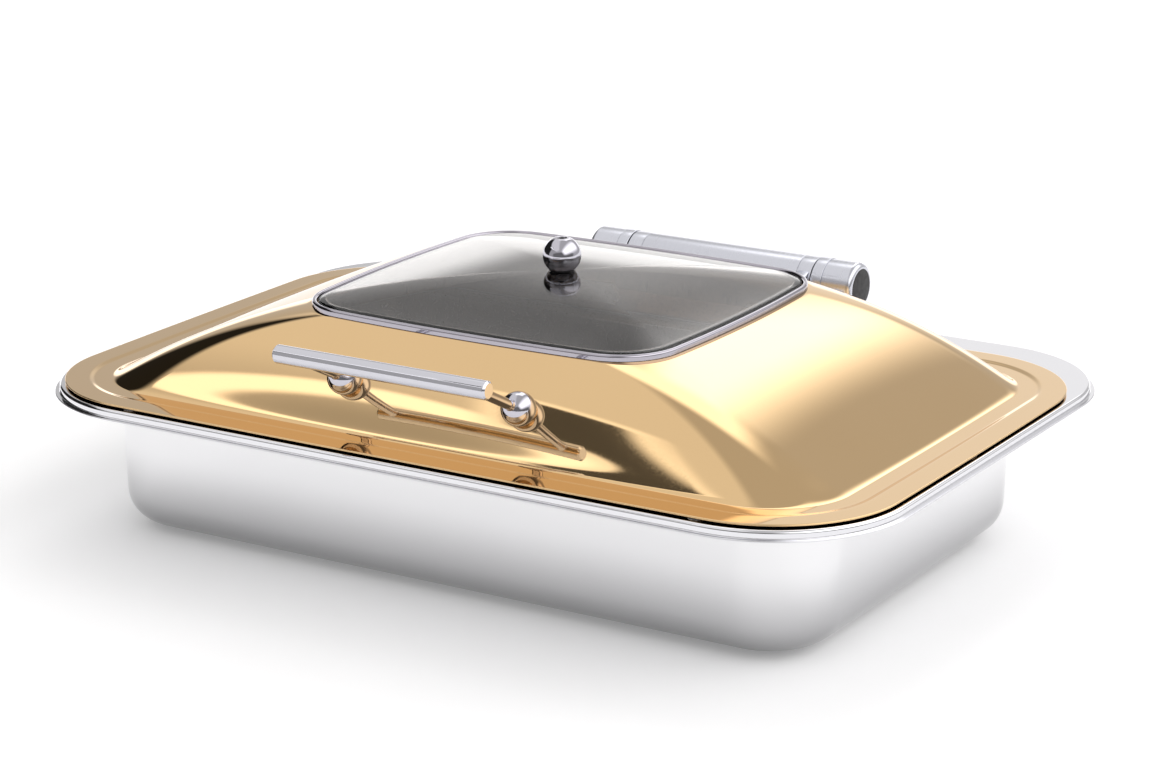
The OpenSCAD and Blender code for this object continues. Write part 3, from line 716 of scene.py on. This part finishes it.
def on_slope(x, along, out):
    """A point beside the arm's foot: along the dome's slope and out from its skin."""
    return Vector((x, arm_y, arm_z)) + arm_along * along + arm_normal * out


def arm_beam():
    root = Vector((arm_y, arm_z)) + Vector((arm_normal.y, arm_normal.z)) * ARM_ROOT_OUT
    back = Vector((arm_along.y, arm_along.z)) * ARM_HALF_T
    ends = [(HINGE_Y + y, HINGE_Z + z) for y, z in (ARM_HIGH_END, ARM_LOW_END)]
    outline = [tuple(root - back)] + ends + [tuple(root + back)]
    return bevelled(prism(outline, ARM_X - ARM_W / 2, ARM_X + ARM_W / 2), ARM_ROUND)


def arm_foot():
    """A plate with round corners on the dome. Its rings are [how much wider, how far out]."""
    corners = []
    for sx, sy, start in ((1, 1, 0), (-1, 1, pi / 2), (-1, -1, pi), (1, -1, 1.5 * pi)):
        for k in range(FOOT_ARC_STEPS + 1):
            t = start + pi / 2 * k / FOOT_ARC_STEPS
            corners.append((sx * (FOOT_X - FOOT_R) + FOOT_R * cos(t),
                            sy * (FOOT_Y - FOOT_R) + FOOT_R * sin(t)))
    rings = []
    for grow, out in ((-0.25, 0.25), (0, 0.5), (0, 2.2), (-0.15, 2.55), (-0.5, FOOT_OUT)):
        wider, longer = 1 + grow / FOOT_X, 1 + grow / FOOT_Y
        rings.append([tuple(on_slope(ARM_X + x * wider, y * longer, out)) for x, y in corners])
    return capped(rings)


def arm():
    hoop = tube([(SPIGOT_R, ARM_IN, 0.2), (TUBE_R, ARM_IN, 0.3), (TUBE_R, ARM_OUT, 0.3),
                 (SPIGOT_R, ARM_OUT, 0.2)])
    return merged(hoop, arm_beam(), arm_foot())


right_arm = arm()
piece("hinge_arm_piece_right", right_arm, satin, "lid", ["hinge_arm_right"])
piece("hinge_arm_piece_left", mirrored(right_arm), satin, "lid",
      ["hinge_arm_left"])
arm_heads = [screw(on_slope(s * x, 0, FOOT_OUT), arm_normal, head_r=3.6, head_h=2.2, shank=6.5)
             for s in (-1, 1) for x in (ARM_X - ARM_SCREW_OFF, ARM_X + ARM_SCREW_OFF)]
piece("arm_fixings", merged(*arm_heads), dull, "lid", ["arm_screws"])

collar_line = [(HOUSING_CORE_R, COLLAR_IN, 0), (COLLAR_R, COLLAR_IN, 0.45),
               (COLLAR_R, COLLAR_OUT, 0.45), (HOUSING_CORE_R, COLLAR_OUT, 0)]
housing_line = [(SHAFT_R, COLLAR_IN, 0), (HOUSING_CORE_R, COLLAR_IN, 0),
                (HOUSING_CORE_R, HOUSING_IN, 0), (TUBE_R, HOUSING_IN, 0.3),
                (TUBE_R, HOUSING_OUT, HOUSING_ROUND), (CAP_R, HOUSING_OUT, 0.05),
                (CAP_R, CAP_IN, 0), (SHAFT_R, CAP_IN, 0)]
cap_face = HOUSING_OUT + CAP_PROUD
cap_line = rounded([(1, CAP_IN, 0), (CAP_R, CAP_IN, 0), (CAP_R, cap_face, 0.5),
                    (1, cap_face, 0)], False, 5)
for s, side in ((-1, "left"), (1, "right")):
    piece("hinge_ring_" + side, tube(collar_line, s), satin, "base",
          ["hinge_collar_" + side])
    piece("hinge_end_" + side, tube(housing_line, s, 10), satin, "base",
          ["hinge_housing_" + side])
    plug = lathe([(r, s * h) for r, h in cap_line], hinge_at, along_x, False, FINE)
    piece("hinge_plug_" + side, plug, nylon, "base", ["hinge_end_cap_" + side])

# A bracket stands on the deck, and its top follows the tube.
BLOCK_X, BLOCK_HALF, BLOCK_FRONT, BLOCK_BACK = 89.0, 6.0, 204.0, 220.0
BLOCK_SCREWS_Y, BLOCK_SCREW_SEAT = (208, 216), -3.2
SADDLE_STEPS, BLOCK_ROUND = 12, 0.6
saddle = [(BLOCK_FRONT, 0.0), (BLOCK_BACK, 0.0)]
for k in range(SADDLE_STEPS + 1):
    y = mix(BLOCK_BACK, BLOCK_FRONT + 0.05, k / SADDLE_STEPS)
    saddle.append((y, HINGE_Z - sqrt(TUBE_R ** 2 - (y - HINGE_Y) ** 2)))
right_block = bevelled(prism(saddle, BLOCK_X - BLOCK_HALF, BLOCK_X + BLOCK_HALF), BLOCK_ROUND)
piece("hinge_block_right", right_block, satin, "base", ["hinge_bracket_right"])
piece("hinge_block_left", mirrored(right_block), satin, "base",
      ["hinge_bracket_left"])
under_screws = [screw((s * BLOCK_X, y, BLOCK_SCREW_SEAT), (0, 0, -1), head_r=3.8, head_h=2.3,
                      shank=8.6)
                for s in (-1, 1) for y in BLOCK_SCREWS_Y]
piece("block_fixings", merged(*under_screws), dull, "base",
      ["hinge_bracket_screws"])

# ---- Pads under the lid's rim ------------------------------------------------------------

PAD_R, PAD_LOW, PAD_FROM_EDGE, PAD_X = 4.5, 0.1, 8.0, 200.0
rim_under = RIM_TOP - SHEET
pad = rounded([(1, rim_under, 0), (PAD_R, rim_under, 0.1), (PAD_R, PAD_LOW, 0.8),
               (1, PAD_LOW, 0)], False, 6)
pad_x, pad_y = LID_X - PAD_FROM_EDGE, LID_Y - PAD_FROM_EDGE
pad_places = [(pad_x, 0), (-pad_x, 0)]
pad_places += [(sx * PAD_X, sy * pad_y) for sy in (1, -1) for sx in (1, -1)]
piece("rim_pads", merged(*[lathe(pad, (x, y, 0), up, False, 40) for x, y in pad_places]),
      clear, "lid", ["lid_bumpers"])

# ---- Pans and frame ----------------------------------------------------------------------


MOUTH_ROUND_IN, MOUTH_ROUND_OUT, HEM_ROUND = 1.6, 2.0, 0.5


def pan_part(hx, hy, r, top_z, depth, round_r, draft, t, rim, hem=0.0):
    """A drawn pan: a flat bottom, a round, a wall that leans in by draft degrees, and a flat rim
    that may end in a turned-down hem. hx, hy and r are the outside of the wall at the top."""
    lean = tan(radians(draft))
    inner_x = -t / cos(radians(draft))
    floor_in = -16.0 - depth * 0.3
    rim_end = [(rim, 0, t * 0.45), (rim, -(hem or t), t * 0.45)]
    if hem:
        rim_end += [(rim - t, -hem, t * 0.3), (rim - t, -t, HEM_ROUND)]
    inside = [(floor_in, t - depth, 0), (inner_x - (depth - t) * lean, t - depth, round_r - t),
              (inner_x, 0, MOUTH_ROUND_IN)]
    outside = [(-t * lean, -t, MOUTH_ROUND_OUT), (-depth * lean, -depth, round_r),
               (floor_in, -depth, 0)]
    line = rounded(inside + rim_end + outside, False, 14)
    rings = [ring(hx + d, hy + d, r + d, STRAIGHT, top_z + z) for d, z in line]
    first, last = rings[0], rings[-1]
    floor_inside = [scaled(first, f, top_z + t - depth) for f in (0.05, 0.5)]
    floor_outside = [scaled(last, f, top_z - depth) for f in (0.5, 0.05)]
    return capped(floor_inside + rings + floor_outside)


RECESS, RECESS_X, RECESS_Y, RECESS_R = 4.5, 266.5, 164.0, 56.5
PAN_DEPTH = 93.3
recess_under = RECESS + SHEET
tub = pan_part(hx=256, hy=157.5, r=49, top_z=-recess_under, depth=PAN_DEPTH - recess_under,
               round_r=22, draft=2.3, t=SHEET, rim=16)
piece("water_tub", tub, tub_steel, "base", ["water_pan"])
food = pan_part(hx=250, hy=147.5, r=40, top_z=-1.5, depth=65, round_r=14, draft=3, t=0.9,
                rim=15, hem=2.8)
piece("gastronorm_pan", food, dull, "food_pan", ["food_pan"])

FRAME_X, FRAME_Y, FRAME_MID, FRAME_R = 296.2, 211.95, 14.25, 88.5
# The deck's turned-down edge is EDGE_IN inside a lip at its foot.
EDGE_IN, LIP_TOP, LIP_LOW, DECK_FROM = 2.9, 5.0, 6.1, 8.0
# The recess's ledge carries the tub's rim and ends in a lip inside the tub.
RECESS_LEDGE, RECESS_LIP, RECESS_DECK = 14.0, 10.0, 5.0


def frame_part():
    """The deck ring: its outer edge and lip, and its step down to the pans."""
    edge_back, ledge_end = EDGE_IN + SHEET, RECESS_LEDGE + SHEET
    outer = rounded([(-DECK_FROM, 0, 0), (-EDGE_IN, 0, 2.0), (-EDGE_IN, -LIP_TOP, 0.5),
                     (0, -LIP_TOP, 0.54), (0, -LIP_LOW, 0.54), (-edge_back, -LIP_LOW, 0.2),
                     (-edge_back, -SHEET, 0.8), (-DECK_FROM, -SHEET, 0)], False, 8)
    inner = rounded([(RECESS_DECK, -SHEET, 0), (SHEET, -SHEET, 0.3), (SHEET, -recess_under, 0.6),
                     (-RECESS_LEDGE, -recess_under, 0.4), (-RECESS_LEDGE, -RECESS_LIP, 0.25),
                     (-ledge_end, -RECESS_LIP, 0.25), (-ledge_end, -RECESS, 0.8),
                     (0, -RECESS, 0.9), (0, 0, 0.7), (RECESS_DECK, 0, 0)], False, 6)
    rings = [ring(FRAME_X + d, FRAME_Y + d, FRAME_R + d, STRAIGHT, z, FRAME_MID) for d, z in outer]
    rings += [ring(RECESS_X + d, RECESS_Y + d, RECESS_R + d, STRAIGHT, z) for d, z in inner]
    return bridge(rings)


piece("deck_frame", frame_part(), mirror, "base", ["top_frame"], 28)

# The induction plate under the tub stands on the floor, with a step round its foot.
PLATE_X, PLATE_Y, PLATE_R, PLATE_STEP, PLATE_STEP_H = 223.0, 124.5, 24.0, 1.0, 0.8
PLATE_INNER = 4.0
step_top = PLATE_STEP_H - DECK
hob_line = rounded([(-PLATE_INNER, -DECK, 0), (-PLATE_STEP, -DECK, 0.2),
                    (-PLATE_STEP, step_top, 0), (0, step_top, 0.3), (0, -PAN_DEPTH, 0.3),
                    (-PLATE_INNER, -PAN_DEPTH, 0)], False, 4)
hob = [ring(PLATE_X + d, PLATE_Y + d, PLATE_R + d, STRAIGHT, z) for d, z in hob_line]
hob = [scaled(hob[0], 0.1, -DECK)] + hob + [scaled(hob[-1], 0.1, -PAN_DEPTH)]
piece("hob_plate", capped(hob), base_metal, "base", ["induction_base"])

# ---- CAD nodes that stay -----------------------------------------------------------------

# Parts inside the hinge and behind washers keep their CAD shape and get a material.
kept = {
    "hinge_backing_plate": dull, "hinge_shaft": dull, "thrust_washers": nylon,
    "knob_bolt": oxide, "knob_nut": dull, "handle_washers": dull,
    "arm_backing_plates": dull, "damper_left": dull, "damper_right": dull,
    "barrel_bushes": bronze,
}
for name, material in kept.items():
    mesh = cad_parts[name].data
    mesh.materials.clear()
    mesh.materials.append(material)

# ---- Studio ------------------------------------------------------------------------------


FLOOR_SIDES, FLOOR_REACH, FLOOR_DROP, FLOOR_GLOW = 64, 12.0, 0.0004, 0.2


def stage_floor():
    """A wide pale disc that glows a little, just under the object. Lengths are in metres."""
    mesh = bpy.data.meshes.new("studio_floor")
    turns = [2 * pi * i / FLOOR_SIDES for i in range(FLOOR_SIDES)]
    verts = [(FLOOR_REACH * cos(t), FLOOR_REACH * sin(t), -FLOOR_DROP) for t in turns]
    mesh.from_pydata(verts, [], [tuple(range(FLOOR_SIDES))])
    obj = bpy.data.objects.new("studio_floor", mesh)
    scene.collection.objects.link(obj)
    material, g, shader, coords = surface("studio_paper")
    shader.inputs["Base Color"].default_value = (0.93, 0.93, 0.935, 1)
    shader.inputs["Specular IOR Level"].default_value = 0.1
    shader.inputs["Emission Color"].default_value = (1, 1, 1, 1)
    shader.inputs["Emission Strength"].default_value = FLOOR_GLOW
    g.links.new(spread(g, noise(g, coords, 3), 0.75, 0.9), shader.inputs["Roughness"])
    mesh.materials.append(material)


stage_floor()


def heading(az, el):
    """A direction: azimuth 0 is the front, 90 is the right, in degrees."""
    a, e = radians(az), radians(el)
    return Vector((sin(a) * cos(e), -cos(a) * cos(e), sin(e)))


def studio_light(base, panels):
    """A world made of soft panels. A panel is [azimuth, elevation, half width, half height,
    softness, roll, radiance]: degrees, and the radiance that it has instead of what is behind."""
    world = bpy.data.worlds.new("studio")
    scene.world = world
    world.use_nodes = True
    g = Graph(world.node_tree)
    g.nodes.clear()
    ray = g.node("ShaderNodeTexCoord").outputs["Generated"]

    def dot(v):
        made = g.node("ShaderNodeVectorMath", {0: ray, 1: v}, operation="DOT_PRODUCT")
        return made.outputs["Value"]

    def maths(kind, a, b=0.0):
        return g.node("ShaderNodeMath", {0: a, 1: b}, operation=kind).outputs["Value"]

    light = base
    for az, el, half_w, half_h, soft, roll, radiance in panels:
        ahead = heading(az, el)
        across = ahead.cross(Vector((0, 0, 1))).normalized()
        above = across.cross(ahead)
        turn = Matrix.Rotation(radians(roll), 3, ahead)
        across, above = turn @ across, turn @ above
        facing = dot(ahead)
        near = maths("MAXIMUM", facing, 0.001)
        mask = maths("GREATER_THAN", facing, 0.001)
        for axis, half in ((across, half_w), (above, half_h)):
            off = maths("ABSOLUTE", maths("DIVIDE", dot(axis), near))
            edge = g.node("ShaderNodeMapRange",
                          {"Value": off, "From Min": tan(radians(max(half - soft, 0))),
                           "From Max": tan(radians(half + soft)), "To Min": 1.0, "To Max": 0.0},
                          interpolation_type="SMOOTHSTEP").outputs["Result"]
            mask = maths("MULTIPLY", mask, edge)
        made = g.node("ShaderNodeMix", {"Factor": mask}, data_type="FLOAT")
        for index, value in ((2, light), (3, radiance)):
            if isinstance(value, bpy.types.NodeSocket):
                g.links.new(value, made.inputs[index])
            else:
                made.inputs[index].default_value = value
        light = made.outputs[0]
    glow = g.node("ShaderNodeBackground", {"Color": (1, 0.99, 0.985, 1), "Strength": light})
    out = g.node("ShaderNodeOutputWorld")
    g.links.new(glow.outputs["Background"], out.inputs["Surface"])


STUDIO_BASE = 0.6
studio_light(STUDIO_BASE, [
    # Front left: a high soft panel, a dim one below it and a black flag at the side.
    (-70, 60, 50, 20, 6, 0, 0.95),
    (-40, 10, 40, 24, 2, 0, 0.5),
    (-88, 8, 36, 34, 4, -6, 0.02),
    # A narrow strip, and a small bright window with a dark middle.
    (-50, 36.5, 14, 1.5, 0.6, 4, 1.9),
    (-39.6, 42.0, 2.6, 5.2, 0.6, 27, 1.5),
    (-39.6, 42.0, 1.8, 4.2, 0.35, 27, 0.1),
    # Behind: the back light, which is brightest, and fills over and under it.
    (-165.5, 42, 7, 19, 5, 0, 2.6),
    (-156, 57, 14, 8, 5, 0, 2.0),
    (-158, 13, 10, 10, 5, 0, 1.0),
    (-150, 1, 30, 8, 3, 0, 1.8),
    # Front right: a dark low panel.
    (40, 10, 62, 20, 6, 0, 0.2),
    # Right: the key light.
    (100, 42, 48, 20, 12, 0, 2.0),
])

# ---- Camera ------------------------------------------------------------------------------

# Where the camera looks, how far away it is in metres, and its azimuth, elevation and roll.
TARGET = (-0.0986, 0.1644, 0.0348)
DISTANCE = 2.2916
AZIMUTH, ELEVATION, ROLL = 31.45, 16.7, -0.17

camera = bpy.data.objects.new("camera", bpy.data.cameras.new("camera"))
scene.collection.objects.link(camera)
camera.data.sensor_width = 36
camera.data.lens = 102.7
target = Vector(TARGET)
camera.location = target + heading(AZIMUTH, ELEVATION) * DISTANCE
aim = (target - camera.location).to_track_quat("-Z", "Y")
camera.rotation_mode = "QUATERNION"
camera.rotation_quaternion = aim @ Matrix.Rotation(radians(ROLL), 3, "Z").to_quaternion()
camera.data.clip_start, camera.data.clip_end = 0.05, 60
scene.camera = camera
scene.view_settings.view_transform = "Standard"
scene.view_settings.look = "None"
scene.cycles.use_denoising = True
